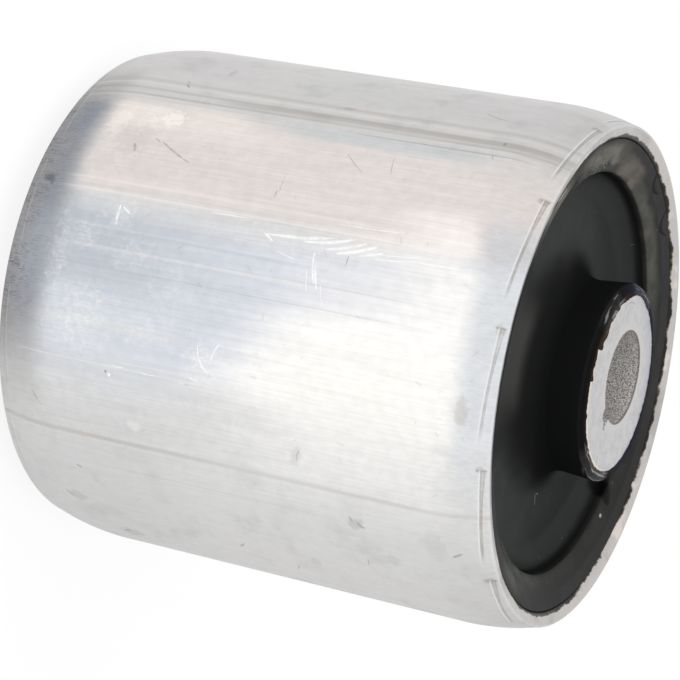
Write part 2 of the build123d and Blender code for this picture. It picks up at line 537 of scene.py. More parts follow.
shellLooks = {
    "metal": (0.645, 0.635, 0.63),
    "mouth": (0.53, 0.51, 0.495),
    "mouthPale": (0.74, 0.665, 0.61),
    "mouthNearShade": (0.40, 0.405, 0.43),
    "mouthGrey": (0.36, 0.355, 0.35),
    "mouthEdge": (0.10, 0.078, 0.058),
    "skin": (0.03, 0.029, 0.028),
    # each grain: size, squeeze, low, high, detail, shift
    "grains": {
        "fine": (0.3, 0.035, 0.3, 0.7, 3.0, 0.0),
        "score": (0.18, 0.02, 0.35, 0.65, 1.0, 11.0),
        "mid": (1.2, 0.04, 0.3, 0.7, 3.0, 31.0),
        "wide": (3.5, 0.1, 0.25, 0.75, 3.0, 63.0),
        "soil": (4.5, 1.0, 0.5, 0.75, 3.0, 0.0),
        "mottle": (1.3, 1.0, 0.3, 0.7, 2.0, 0.0),
        "swirl": (1.3, 0.6, 0.3, 0.7, 2.0, 47.0),
        "chafe": (0.34, 0.55, 0.43, 0.62, 2.0, 91.0),
    },
    # tones painted in place of light: the pale fields are painted highlights, the blue and pink bands
    # painted reflections with a little real tint, and the dark foot bands painted shade from the reflected
    # shaded floor
    # each painted reflection: from, soft, to, soft (degrees), low, soft, high, soft, feather (mm), colour,
    # strength
    "paintedReflections": {
        "right": (17.6, 2.2, 56, 22, -60, 1, 60, 1, 2, (0.735, 0.735, 0.73), 1.0),
        "rightFoot": (24, 10, 90, 10, -60, 1, -9, 8, 2, (0.645, 0.645, 0.645), 0.5),
        "upperRight": (16.5, 1.6, 33, 12, 4, 8, 29, 3.0, 3, (0.93, 0.92, 0.90), 0.9),
        "greyBack": (76, 14, 140, 36, -60, 1, 60, 1, 3, (0.53, 0.53, 0.525), 0.7),
        "pink": (-41.6, 1.8, -18.6, 1.2, -26.6, 1.8, 60, 1, 1.2, (0.765, 0.712, 0.692), 0.95),
        "pinkShoulder": (-45.4, 1.0, -38, 4, 23, 5, 60, 1, 2, (0.72, 0.685, 0.665), 0.9),
        "pinkTop": (-26.5, 5, -14, 4, 18.5, 5.5, 27.0, 1.9, 3, (0.96, 0.91, 0.885), 1.0),
        "greyStrip": (-45.2, 0.7, -41.4, 1.2, -2.0, 5, 22, 6, 2, (0.635, 0.645, 0.65), 0.9),
        "pinkLeft": (-72, 4, -55.5, 2.5, 10, 6, 31, 3, 3, (0.60, 0.578, 0.58), 0.6),
        "greenLeft": (-70, 5, -55.5, 3, -9, 5, 10, 4, 3, (0.60, 0.605, 0.59), 0.5),
        "pinkLow": (-72, 4, -56.5, 2.5, -60, 1, -11, 4, 3, (0.60, 0.578, 0.585), 0.5),
        "cream": (-44.4, 1.6, -36.6, 3.2, -26.4, 2.0, -5, 6, 3, (0.855, 0.79, 0.74), 0.85),
        "blue": (-18.2, 1.8, 17.6, 2.2, -60, 1, 60, 1, 1.5, (0.70, 0.725, 0.78), 1.0),
        "blueSkirt": (13, 3, 22.5, 4.5, -60, 1, -7, 7, 3, (0.70, 0.72, 0.755), 0.75),
        "seamGrey": (-20.0, 1.8, -14.2, 2.4, -60, 1, 15, 7, 2, (0.73, 0.72, 0.715), 0.75),
        "seamCream": (-21.0, 2.6, -14.6, 2.2, 11, 6, 27, 2.5, 3, (0.93, 0.885, 0.855), 0.55),
        "deepBlue": (-15.5, 3.5, 1.5, 7, -60, 1, -9, 13, 3.5, (0.535, 0.565, 0.62), 0.92),
        "midLight": (-13.8, 2.6, 3, 5, 5.5, 5.0, 60, 1, 4, (0.815, 0.82, 0.85), 0.85),
        "upperField": (-17, 3, 2, 5, 20.5, 7.5, 60, 1, 4, (0.955, 0.945, 0.93), 0.95),
        "core": (-3.6, 4.0, 18.2, 2.6, 8, 8, 60, 1, 3.5, (1.0, 0.99, 0.97), 1.0),
        "coreFoot": (3.5, 4.0, 18.2, 2.6, 4.4, 5.5, 60, 1, 4, (0.99, 0.97, 0.935), 0.9),
        "topBand": (-20, 5, 24, 12, 28.9, 1.5, 60, 1, 0.6, (0.73, 0.75, 0.78), 0.95),
        "topLeft": (-28, 5, -17.5, 4, 28.0, 2.2, 60, 1, 0.6, (0.655, 0.66, 0.685), 0.85),
        "footEdge": (-19, 3, 3, 3, -60, 1, -24.8, 1.6, 1.2, (0.46, 0.485, 0.54), 0.55),
        "foot": (-56, 4, 26, 14, -60, 1, -27.0, 2.4, 0.6, (0.44, 0.43, 0.425), 0.78),
        "footDark": (-43.2, 3.2, 11, 11, -60, 1, -27.5, 1.9, 0.8, (0.30, 0.315, 0.35), 0.94),
        "footBlue": (-42.6, 3, -35, 4, -60, 1, -28.2, 1.2, 1.5, (0.26, 0.285, 0.36), 0.5),
        "footPale": (-13, 5, 4, 5, -60, 1, -26.5, 2.2, 3, (0.50, 0.535, 0.60), 0.35),
        "footEnd": (-50, 6, 14, 12, -60, 1, -31.0, 1.8, 1.5, (0.34, 0.33, 0.32), 0.6),
    },
    "slants": {"pinkTop": {"Slant high": 0.1}, "footDark": {"Slant high": 0.005},
               "upperField": {"Slant low": -0.25}, "core": {"Slant low": -0.5}},
    "bright": (-46.0, 6.0, 36.0, 12.0, -60.0, 1.0, 60.0, 1.0),
    "scoredFoot": (-47.0, 6.0, 12.0, 10.0, -60.0, 1.0, -29.0, 3.0),
    # each line: centre, half width (degrees), low, high (mm), colour, strength
    "lines": [
        (-53.1, 1.1, -40, 40, (0.42, 0.385, 0.355), 0.42), (-51.4, 0.6, -40, 40, (0.76, 0.74, 0.73), 0.5),
        (-49.4, 0.8, -40, 40, (0.33, 0.295, 0.265), 0.44), (-48.5, 1.5, -12, 34, (0.40, 0.37, 0.34), 0.6),
        (-47.0, 0.55, -40, 40, (0.33, 0.30, 0.28), 0.4), (-46.1, 0.4, -30, 28, (0.72, 0.70, 0.69), 0.5),
        (-44.85, 0.25, 6, 28, (0.20, 0.215, 0.27), 0.65), (-43.6, 0.4, -10, 25, (0.50, 0.52, 0.56), 0.35),
        (-21.9, 0.6, -26, 24, (0.92, 0.87, 0.84), 0.5), (-20.3, 0.4, -26, 24, (0.58, 0.52, 0.50), 0.2),
        (-19.3, 0.5, -27, 26, (0.93, 0.90, 0.87), 0.5), (-7.5, 0.3, -28, 22, (0.52, 0.53, 0.57), 0.35),
        (-11.5, 0.6, -25, 14, (0.84, 0.86, 0.90), 0.28), (1.8, 0.3, -26, 4, (0.50, 0.53, 0.60), 0.3),
        (17.5, 0.35, -30, 30, (0.88, 0.87, 0.84), 0.4), (1.6, 0.45, -25, -3, (0.56, 0.68, 0.76), 0.42),
        (-11.0, 0.9, -27, 6, (0.50, 0.54, 0.62), 0.4), (-7.0, 0.7, -25, 16, (0.88, 0.84, 0.83), 0.4),
        (4.4, 0.7, -24, -4, (0.58, 0.63, 0.71), 0.35), (8.8, 1.3, -27, -8, (0.80, 0.78, 0.74), 0.35),
        (-2.9, 0.25, -24, 18, (0.44, 0.44, 0.47), 0.35), (12.6, 0.6, -22, -4, (0.60, 0.65, 0.73), 0.3),
        (-24.6, 0.8, 2, 24, (0.88, 0.80, 0.775), 0.35), (16.2, 0.5, -18, 28, (0.86, 0.83, 0.80), 0.35),
        (34.9, 1.0, -40, 40, (0.45, 0.41, 0.37), 0.42), (35.8, 0.35, -40, 40, (0.79, 0.78, 0.76), 0.3),
        (42.5, 0.3, -40, 12, (0.50, 0.49, 0.47), 0.25),
    ],
    # each scratch: around (degrees), along, length, width (mm), tilt, bend
    "lightScratches": [
        (-15.9, 13.1, 5.4, 0.56, 109, 0.2), (-16.3, 11.7, 5.4, 0.5, 108, 0.2),
        (-16.8, 9.4, 7.0, 0.5, 102, 0.3), (-15.7, 15.0, 3.4, 0.34, 106, 0.1),
        (-16.6, 5.3, 7.0, 0.36, 97, 0.3), (-16.4, 2.9, 4.4, 0.28, 96, 0.1),
        (-17.0, 7.4, 5.0, 0.36, 100, 0.1), (-16.0, 24.0, 7.6, 0.2, 92, 0.1),
        (-15.4, 18.2, 5.4, 0.2, 97, 0.1), (-16.2, 17.0, 9.0, 0.14, 94, 0.2),
        (-10.9, 8.3, 4.2, 0.3, 15, 0.2), (-9.4, 8.9, 3.6, 0.3, 17, 0.1), (-5.6, 10.2, 2.8, 0.16, 20, 0.1),
        (-8.0, 7.9, 3.0, 0.14, 14, 0.1), (-15.6, 1.6, 1.6, 0.3, 60, 0), (9.8, -2.2, 2.6, 0.26, -22, 0.2),
        (13.4, -3.6, 2.2, 0.3, 40, 0.2), (10.6, -4.4, 1.8, 0.2, 10, 0.1), (16.6, -4.6, 1.8, 0.25, 75, 0),
        (-14.6, -19.0, 2.8, 0.4, 4, 0.1), (-15.8, -18.0, 1.6, 0.3, 60, 0), (-18.8, -4.0, 6.0, 0.16, 91, 0),
        (-21.2, 14.0, 9.0, 0.14, 92, 0.1), (-12.4, 4.6, 2.6, 0.16, 78, 0),
        (17.6, -11.0, 2.2, 0.14, 89, 0.1), (17.9, -6.6, 1.6, 0.13, 91, 0),
        (17.3, -15.2, 1.8, 0.14, 90, 0.1),
    ],
    "darkScratches": [
        (-36.2, 8.2, 4.0, 0.14, 50, 0.1), (-31.2, -15.0, 6.0, 0.32, 63, 0.15),
        (-33.6, -18.0, 1.2, 0.2, 60, 0), (-13.4, 12.3, 1.6, 0.2, -3, 0), (-30.9, -20.6, 1.4, 0.5, 25, 0),
        (-52.4, -19.5, 1.3, 0.4, 40, 0), (-54.0, -19.9, 0.7, 0.3, 70, 0), (-10.2, -9.3, 1.0, 0.2, -50, 0),
        (-37.0, 13.0, 3.0, 0.14, 15, 0.1), (-28.4, 0.6, 3.0, 0.14, 3, 0.1), (-25.4, 0.4, 1.2, 0.2, 0, 0),
        (-44.2, 24.2, 0.9, 0.3, 30, 0), (-59.2, 21.0, 4.2, 0.22, 70, 0.4), (42.8, 17.0, 1.3, 0.4, 55, 0.2),
        (41.4, 15.8, 0.9, 0.35, 30, 0), (45.8, 29.2, 1.6, 0.5, -60, 0), (54.4, 16.8, 1.6, 0.2, -5, 0),
        (28.2, 9.4, 1.8, 0.16, -15, 0.2), (60.6, -1.6, 1.6, 0.5, -40, 0), (55.4, -25.8, 1.7, 0.4, 40, 0),
        (28.4, -27.2, 2.6, 0.2, 35, 0.1), (44.6, -22.4, 0.9, 0.4, 60, 0), (69.2, -20.4, 1.6, 0.6, -60, 0),
        (65.4, 5.4, 1.8, 0.3, -20, 0), (-24.5, -32.0, 2.2, 0.5, 88, 0), (-22.0, -31.6, 3.0, 0.3, 90, 0),
        (-18.5, -32.2, 1.6, 0.4, 90, 0),
    ],
    # each stain, and one painted highlight: around (degrees), along, width, height (mm), tilt, ragged,
    # colour, strength
    "stainsAndHighlights": [
        (-40.8, -17.4, 4.2, 5.0, 10, 2.2, (0.60, 0.55, 0.51), 0.5),
        (-40.6, -17.6, 3.6, 4.4, 10, 2.6, (0.95, 0.90, 0.86), 0.8),
        (-61.6, -16.0, 3.4, 1.2, 5, 1.0, (0.44, 0.43, 0.42), 0.5),
        (12.0, 29.7, 4.6, 1.9, 0, 1.1, (0.55, 0.53, 0.49), 0.5),
        (51.4, 20.2, 2.6, 3.2, 0, 1.2, (0.50, 0.50, 0.49), 0.35),
        (42.6, 16.4, 2.4, 3.0, 30, 1.3, (0.46, 0.45, 0.43), 0.5),
        (44.0, 26.4, 6.0, 4.0, 20, 1.6, (0.55, 0.55, 0.54), 0.3),
        (69.8, -19.6, 3.6, 4.6, 20, 1.2, (0.42, 0.415, 0.40), 0.5),
        (55.8, -24.6, 2.6, 3.2, -30, 1.3, (0.45, 0.44, 0.43), 0.4),
        (60.2, 8.8, 3.0, 2.0, 0, 1.2, (0.47, 0.47, 0.46), 0.3),
        (28.4, 9.2, 3.0, 2.2, 0, 1.5, (0.66, 0.65, 0.63), 0.5),
        (-66, 14.6, 4.4, 3.6, 0, 1.3, (0.66, 0.65, 0.65), 0.4),
        (19.4, -16.4, 0.7, 0.6, 0, 0.4, (0.95, 0.95, 0.95), 0.9),
        (18.8, -16.9, 0.5, 0.4, 0, 0.3, (0.25, 0.27, 0.32), 0.8),
        (-49.0, 24.6, 1.0, 0.6, 0, 0.6, (0.28, 0.26, 0.25), 0.6),
        (-53.2, 3.0, 1.0, 2.2, 0, 0.8, (0.38, 0.36, 0.34), 0.5),
        (30.0, -13.0, 1.6, 2.6, 0, 1.0, (0.84, 0.84, 0.83), 0.5),
        (-20.4, -30.4, 1.6, 2.6, 0, 2.0, (0.12, 0.12, 0.13), 0.6),
        (-33.0, -21.4, 5.0, 7.0, 0, 3.0, (0.62, 0.565, 0.54), 0.4),
        (-26.0, -24.0, 4.0, 3.6, 0, 3.0, (0.64, 0.60, 0.58), 0.3),
        # a painted highlight: the cream field beside the dark foot band
        (-37.0, -24.6, 6.0, 3.0, 0, 3.0, (0.95, 0.89, 0.83), 0.4),
        (-35.9, 32.4, 1.5, 1.6, 0, 1.4, (0.38, 0.34, 0.31), 0.5),
        (-66.2, 32.3, 1.6, 1.8, 0, 1.4, (0.38, 0.34, 0.31), 0.55),
        (53.8, 32.3, 1.5, 1.9, 0, 1.4, (0.42, 0.39, 0.37), 0.5),
        (23.8, 32.3, 1.3, 1.7, 0, 1.4, (0.50, 0.48, 0.46), 0.45),
        (-5.9, 32.4, 1.4, 1.6, 0, 1.4, (0.50, 0.46, 0.43), 0.4),
    ],
    # patches of fine scuffing: around (degrees), along, width, height (mm), strength
    "scuffed": [
        (8.6, -20.8, 9.6, 8.4, 0.9), (12.4, -3.6, 6.5, 6.0, 0.8), (0.0, -9.0, 10, 8, 0.4),
        (8.6, -12.4, 4.4, 9, 0.55), (-6.6, -15.5, 5, 8, 0.5), (-40.0, -20, 4.5, 12, 0.55),
        (-16, 3, 5, 16, 0.35), (-13.4, 13, 4, 8, 0.35), (-3.0, -25.4, 14, 3.4, 0.6),
        (-14.5, -18.5, 5, 6, 0.6), (-9.4, -22.5, 5, 5, 0.6), (10.0, 4.0, 12, 12, 0.2),
    ],
    "nickMarks": (3.0, 0.9, 0.22, 0.16, 70.0, 150.0),  # spacing, length, width, share, direction, spread
    # what lies over the metal, from the bottom up: colour, strength
    "layers": {
        "soil": ((0.40, 0.395, 0.385), 0.18),
        "mottle": ((0.36, 0.355, 0.35), 0.06),
        "nicks": ((0.30, 0.29, 0.28), 0.17),
        "scuffs": ((0.97, 0.96, 0.93), 1.0),
        "darkScratches": ((0.25, 0.24, 0.23), 0.55),
        "lightScratches": ((1.0, 1.0, 0.99), 0.85),
        "score": ((0.10, 0.10, 0.11), 0.55),
        "press": ((0.30, 0.27, 0.245), 1.0),
        "burr": ((0.92, 0.91, 0.91), 0.5),
    },
}


# shape: width, height (mm), tilt, ragged and, where it isn't the group's own, soft
def stainMask(at, cloud, azimuth, height, *shape):
    names = ("Width", "Height", "Tilt", "Ragged", "Soft")
    return useGroup(blot, {"Across": at["Across"], "Along": at["Along"], "Cloud": cloud,
                           "X": radians(azimuth) * shellRadius, "Y": height,
                           **dict(zip(names, shape))})[0]


def buildShellMaterial(looks):
    material, tree, surface = startMaterial("drawnAluminium")
    at = useGroup(place, {}, tree)
    around, along = at["Around"], at["Along"]
    names = ("Size", "Squeeze", "Low", "High", "Detail", "Shift")
    fine, score, mid, wide, soil, mottle, swirl, chafe = (
        useGroup(blotches, {"Place": at["Solid"], **dict(zip(names, grain))})[0]
        for grain in looks["grains"].values())
    cloud = addNoise(at["Solid"], 1.1, 3.0)
    streak = minus(scaled(mid, 0.5, times(wide, 0.5)), 0.5)
    colour = looks["metal"]
    # painted reflections, highlights and shade laid over the metal's own colour
    for name, (*edges, feather, tint, share) in looks["paintedReflections"].items():
        slant = looks["slants"].get(name, {})
        mask = patchMask(around, along, edges, Streak=streak, Feather=feather, **slant)
        colour = paint(colour, tint, mask, share)
    bright = patchMask(around, along, looks["bright"])
    drawn = scaled(fine, 0.07, scaled(mid, 0.04, -0.055))
    drawn = times(drawn, ease(bright, 0.0, 1.0, 0.65, 1.0))
    tone = plus(scaled(mottle, 0.06, 0.955), drawn)
    tone = addNode("CombineColor", {0: tone, 1: tone, 2: tone}).outputs[0]
    colour = paint(colour, tone, 1.0, mode="MULTIPLY")
    worn = ease(wide, 0.0, 1.0, 0.6, 1.1)
    for *run, tint, share in looks["lines"]:
        run = dict(zip(("Centre", "Half", "Low", "High"), run))
        mask = useGroup(line, {"Around": around, "Along": along, "Streak": streak, **run})[0]
        colour = paint(colour, tint, mask, share, worn)
    for *stain, tint, share in looks["stainsAndHighlights"]:
        colour = paint(colour, tint, stainMask(at, cloud, *stain), share)
    scuffed = most(*(
        times(stainMask(at, cloud, a, z, width * 1.2, height * 1.2, 0.0, 2.2, 0.95), share)
        for a, z, width, height, share in looks["scuffed"]))
    broken = ease(cloud, 0.3, 0.55, 0.3, 1.0)
    light, dark = (
        times(scratchMarks(at["Across"], along, shellRadius, looks[kind]), broken)
        for kind in ("lightScratches", "darkScratches"))
    sides = ease(bright, 0.0, 1.0, 1.0, 0.25)
    curls = fall(apart(swirl, 0.5), 0.0, 0.11)
    rubbed = scaled(curls, 0.42, scaled(chafe, 0.24, 0.12))
    foot = patchMask(around, along, looks["scoredFoot"], Streak=streak, Feather=3.0)
    scored = ease(scaled(score, 0.6, times(mid, 0.4)), 0.5, 1.0)
    jaws = useGroup(buildJawMark(shellSettings), {"Around": around, "Along": along})
    filled = plus(ease(around, -20.0, 12.0, 0.88, 0.66), ease(around, 18.0, 32.0, 0.0, 0.2))
    layers = {
        "soil": (soil, sides),
        "mottle": (mottle, sides),
        "nicks": (scatterMask(at["Unrolled"], looks["nickMarks"]),),
        "scuffs": (rubbed, scuffed),
        "darkScratches": (dark,),
        "lightScratches": (light,),
        "score": (scored, foot),
        "press": (jaws["Press"], filled, ease(cloud, 0.3, 0.6, 0.6, 1.0)),
        "burr": (jaws["Burr"],),
    }
    for name, shares in layers.items():
        tint, share = looks["layers"][name]
        colour = paint(colour, tint, *shares, share)
    colour = paintMouth(at, colour, looks)
    rough = plus(0.34, times(mid, 0.08), times(soil, 0.1))
    relief = addBump(plus(times(fine, 0.3), times(mid, 0.5)), 0.3, 0.02)
    feed(surface, {"Base Color": colour, "Metallic": 1.0, "Roughness": rough, "Normal": relief})
    return material


# the mouth's rounded edge: smears on its flat, painted shade on its near side, and moulded rubber that
# laps its inner side
def paintMouth(at, colour, looks):
    around, out = at["Around"], at["Out"]
    end = minus(shellEnd, calc("ABSOLUTE", at["Along"]))
    mouth = times(ease(out, 31.5, 31.15), ease(end, 1.5, 1.2))
    # painted shade, bluish, on the mouth around azimuth -15
    nearShade = times(fall(apart(around, -15.0), 45.0, 75.0), 0.7)
    smear = addNoise(at["Solid"], 0.14, 3.0, 0.6)
    pale = times(ease(smear, 0.56, 0.64, 0.0, 0.75), ease(out, 31.2, 30.9))
    grey = ease(smear, 0.44, 0.34, 0.0, 0.5)
    # how much less far out the skin reaches on one side
    spread = plus(ease(calc("ABSOLUTE", around), 84.0, 112.0, 0.0, 0.3),
                  ease(apart(around, 140.0), 14.0, 34.0, 0.08, 0.0))
    torn = addNoise(at["Solid"], 0.3, 4.0, 0.6)
    reach = scaled(torn, 1.3, minus(plus(out, spread), 0.65))
    shares = {"mouth": 1.0, "mouthNearShade": nearShade, "mouthPale": pale, "mouthGrey": grey,
              "mouthEdge": ease(reach, 30.42, 30.28), "skin": ease(reach, 30.3, 30.18)}
    for name, share in shares.items():
        colour = paint(colour, looks[name], mouth, share)
    return colour


def buildShell(settings):
    corners = bothEnds(settings["section"])
    corners[-1] = (*corners[-1][:4], settings["wallCuts"])
    bm = drawSection(corners)
    spinSection(bm, settings["steps"])
    ripple(bm, settings)
    pressJaws(bm, settings)
    finishPiece(bm, "swagedShell", "outer_shell", buildShellMaterial(shellLooks))


buildShell(shellSettings)
print("shell done")


# rubber body
rubberSettings = {
    "steps": 540,
    "section": [
        (30.93, 27.6, 22.0, 5, 0),
        (29.78, 32.72, 0.15, 2, 6),
        (27.7, 32.3, 0.8, 4, 6),
        (25.42, 31.11, 0.3, 4, 3),
        (25.38, 27.65, 3.2, 10, 4),
        (12.1, 27.65, 4.6, 12, 2),
        (12.1, 32.2, 5.0, 3, 2),
        (12.5, 36.85, 0.6, 6, 6),
        (11.22, 37.1, 0.0, 0, 0),
    ],
    "collarFoot": 35.0,
    "collarReach": 13.0,
    "collarTop": (36.3, 36.9),  # heights between which its shape comes to the full
    "collarInner": (11.25, 12.0),  # radii between which it stops lapping the sleeve
    "crown": (11.8, 0.3),  # radius and half width of the ridge that the beads stand on
    "wobble": {"turns": 5, "out": 0.1, "up": 0.05, "foot": 35.2},
    "jag": {"turns": 18, "out": 0.08, "up": 0.04},
    "lapRise": (0.5, 0.6),  # how much a lap lifts the edge, and the most lap that counts
    # the collar's torn edge: azimuth, and how far it laps over the end of the sleeve
    "lap": [
        (-180, 0.28), (-140, 0.26), (-112, 0.34), (-96, 0.12), (-84, 0.2), (-72, 0.42), (-58, 0.3),
        (-50, 0.46), (-38, 0.42), (-30, 0.62), (-24, 0.5), (-18.8, 0.7), (-18.2, 0.06), (-12, 0.2),
        (-4, 0.1), (2, 0.42), (2.7, -0.04), (24, 0.04), (36, -0.05), (48, 0.08), (70, 0.0), (92, 0.12),
        (120, 0.2), (150, 0.28), (180, 0.28),
    ],
    # where it is thicker: azimuth, half width in degrees, height
    "beads": [(-104, 26, 0.22), (-40, 16, 0.12), (62, 30, 0.16), (146, 34, 0.14)],
    "swell": (140, 50, 0.3),  # where it is stouter, likewise
}


def nearTo(azimuth, target, half):
    return 1 - smooth(0, half, abs(angleTo(azimuth, target)))


def tearCollar(bm, settings):
    at, half, swell = settings["swell"]
    wobbling, jagged = settings["wobble"], settings["jag"]
    foot, topStart = settings["collarFoot"], settings["collarTop"][0]
    ridge, ridgeHalf = settings["crown"]
    rise, mostLap = settings["lapRise"]
    for v in bm.verts:
        radius, height, azimuth, outward = locate(v)
        if height < foot or radius > settings["collarReach"]:
            continue
        wobble = noise.noise(outward * wobbling["turns"] + Vector((0, 0, 3)))
        jag = noise.noise(outward * jagged["turns"] + Vector((5, 0, 0)))
        top = smooth(*settings["collarTop"], height)
        inner = 1 - smooth(*settings["collarInner"], radius)
        lap = readOff(settings["lap"], azimuth) + jagged["out"] * jag
        bead = sum(up * nearTo(azimuth, target, width) for target, width, up in settings["beads"])
        bead *= exp(-((radius - ridge) / ridgeHalf) ** 2)
        stout = swell * nearTo(azimuth, at, half) * (1 - inner) * smooth(foot, topStart, height)
        v.co += outward * stout * mm
        waver = wobbling["out"] * wobble * (1 - inner) * smooth(wobbling["foot"], topStart, height)
        v.co -= outward * (lap * inner * top + waver) * mm
        lift = rise * min(max(lap, 0), mostLap) * inner + wobbling["up"] * wobble + jagged["up"] * jag
        v.co.z += (lift + bead) * top * mm


rubberLooks = {
    "rubber": (0.0075, 0.008, 0.0078),
    "hollow": (0.0285, 0.0305, 0.0295),
    "sheen": (0.062, 0.062, 0.058),
    "collarTop": (0.0045, 0.004, 0.0038),
    "lip": (0.021, 0.0215, 0.021),
    "navy": (0.011, 0.013, 0.025),
    "brown": (0.026, 0.017, 0.012),
    "paleDustAndGlint": (0.42, 0.42, 0.42),
    "sheenPatch": (-28.0, 14.0, 22.0, 14.0, 13.4, 0.6, 22.0, 5.0),
    "fleckPatch": (-80.0, 6.0, -60.0, 6.0, 25.4, 0.2, 26.9, 0.5),
    # films that the mould left on the lip: from, soft, to, soft (degrees), low, soft, high, soft
    # (mm out), colour, strength
    "films": {
        "innerEdge": (-190, 1, 190, 1, 20, 0.1, 27.0, 0.7, (0.042, 0.042, 0.038), 0.9),
        "farEdge": (-150, 14, -92, 8, 20, 0.1, 27.0, 0.6, (0.085, 0.083, 0.074), 0.7),
        "topPatch": (-88, 7, -60, 7, 26.7, 0.5, 29.2, 0.7, (0.13, 0.123, 0.104), 0.9),
        "nextPatch": (-106, 4, -91, 4, 25.7, 0.3, 28.2, 0.6, (0.12, 0.106, 0.092), 0.9),
        "nearStreak": (-50, 4, -34, 5, 27.6, 0.3, 29.2, 0.4, (0.16, 0.145, 0.12), 0.7),
        "innerEdgeLow": (88, 8, 170, 7, 20, 0.1, 40, 0.6, (0.0165, 0.0165, 0.016), 0.95),
        "footPatch": (56, 8, 74, 6, 26.0, 0.6, 29.0, 0.8, (0.062, 0.064, 0.059), 0.85),
    },
    "lipRadius": 29.0,
    # thin arcs and specks: around (degrees), mm out, length, width (mm), tilt, bend, colour
    "marks": [
        (-115.4, 28.3, 4.4, 0.95, 20, 1.6, (0.001, 0.001, 0.001)),
        (-131.0, 28.0, 4.4, 0.95, 13, 1.7, (0.001, 0.001, 0.001)),
        (104, 16.9, 1.9, 0.22, 70, 0.3, (0.30, 0.30, 0.30)),
        (106, 16.4, 1.0, 0.2, 20, 0.1, (0.22, 0.22, 0.22)),
        (138, 26.3, 0.7, 0.5, 0, 0, (0.30, 0.31, 0.30)),
        (-44, 28.9, 3.2, 0.24, 6, 0.2, (0.40, 0.41, 0.42)),
        (-36, 29.2, 2.4, 0.2, -4, 0.1, (0.36, 0.37, 0.40)),
        (-30, 29.4, 1.4, 0.24, 0, 0, (0.30, 0.31, 0.35)),
        # a painted shadow: the recess's shade spreading onto the lip beside the hub
        (145.8, 25.4, 4.4, 2.0, -24, 0.2, (0.0008, 0.0008, 0.0008)),
    ],
    "flash": [(46.0, 98.0, 0.5), (-62.0, -30.0, 0.35), (-118.0, -84.0, 0.5)],  # from, to, strength
    "flashAlong": (36.2, 0.3, 40.0, 1.0),  # low, soft, high, soft (mm)
    "specks": (2.6, 0.3, 0.12, 0.2, 90.0, 180.0),
}


def buildRubberMaterial(looks):
    material, tree, surface = startMaterial("blackRubber")
    at = useGroup(place, {}, tree)
    around, out = at["Around"], at["Out"]
    grain = addNoise(at["Solid"], 4.0, 4.0)
    cloud = addNoise(at["Solid"], 0.35, 4.0)
    # the upturned floor of the recess is painted lighter than the rest of the rubber: painted light, as if
    # lit from above
    hollow = times(ease(out, 13.2, 17.0), fall(out, 24.9, 25.3),
                   ease(apart(around, 128.0), 20.0, 50.0, 0.72, 1.0))
    sheen = patchMask(around, out, looks["sheenPatch"])
    onLip = ease(out, 25.36, 25.5)
    colour = paint(looks["rubber"], looks["hollow"], hollow)
    colour = paint(colour, looks["sheen"], sheen, 0.6)
    colour = paint(colour, looks["lip"], onLip)
    cloudy = ease(cloud, 0.35, 0.65, 0.55, 1.15)
    streak = minus(cloud, 0.5)
    for *edges, tint, share in looks["films"].values():
        film = patchMask(around, out, edges, Streak=streak, Feather=2.5)
        colour = paint(colour, tint, film, onLip, cloudy, share)
    lipAcross = times(around, radians(looks["lipRadius"]))
    for *mark, tint in looks["marks"]:
        colour = paint(colour, tint, scratchMask(lipAcross, out, looks["lipRadius"], mark), 0.9)
    colour = paintCollar(at, colour, looks)
    flash, lines = flashMasks(at, looks)
    # pale lines on the flash, partly painted highlights
    colour = paint(colour, looks["paleDustAndGlint"], lines)
    flecks = patchMask(around, out, looks["fleckPatch"])
    colour = paint(colour, looks["paleDustAndGlint"], flecks, ease(grain, 0.58, 0.66), 0.9)
    specks = scatterMask(at["Solid"], looks["specks"])
    colour = paint(colour, looks["paleDustAndGlint"], specks, ease(out, 15.0, 17.0, 0.0, 0.16))
    gloss = plus(ease(out, 12.5, 14.0, 0.06, 0.12), ease(out, 25.3, 25.9, 0.0, 0.09))
    gloss = times(gloss, ease(cloud, 0.3, 0.7, 0.8, 1.1))
    gloss = most(gloss, times(flash, 0.6))
    relief = addBump(plus(grain, times(lines, 2.0)), 0.2, 0.05)
    feed(surface, {"Base Color": colour, "Coat Weight": gloss, "Coat Roughness": 0.3,
                   "Specular IOR Level": 0.0, "Roughness": 0.7, "Normal": relief})
    return material


# the collar's end: brown where it tore from the sleeve on one side, blue-black on the other
def paintCollar(at, colour, looks):
    collar = times(ease(at["Out"], 12.5, 12.2), ease(at["Along"], 36.4, 36.7))
    turned = ease(apart(at["Around"], 15.0), 75.0, 110.0)
    fringe = times(ease(at["Out"], 11.7, 11.2), minus(1.0, turned))
    for name, *shares in (("collarTop",), ("navy", turned), ("brown", fringe)):
        colour = paint(colour, looks[name], collar, *shares)
    return colour


# where flash was trimmed off the collar, and thin pale lines on it, partly trim marks and partly painted
# highlights on its curled ridges
def flashMasks(at, looks):
    stretch = (times(at["Around"], 0.05), times(at["Out"], 2.2), times(at["Along"], 2.2))
    drawn = addNode("CombineXYZ", dict(enumerate(stretch))).outputs[0]
    fibre = addNode("TexNoise", {"Vector": drawn, "Scale": 1.0, "Detail": 3.0, "Distortion": 0.6})
    trimmed = (
        times(patchMask(at["Around"], at["Along"], (start, 6.0, end, 6.0, *looks["flashAlong"])), share)
        for start, end, share in looks["flash"])
    flash = times(most(*trimmed), ease(at["Out"], 12.7, 12.5))
    return flash, times(flash, ease(fibre.outputs[0], 0.56, 0.66))


def buildRubber(settings):
    bm = drawSection(bothEnds(settings["section"], cutLower=False))
    spinSection(bm, settings["steps"])
    tearCollar(bm, settings)
    finishPiece(bm, "mouldedRubber", "rubber_body", buildRubberMaterial(rubberLooks))


buildRubber(rubberSettings)
print("rubber done")


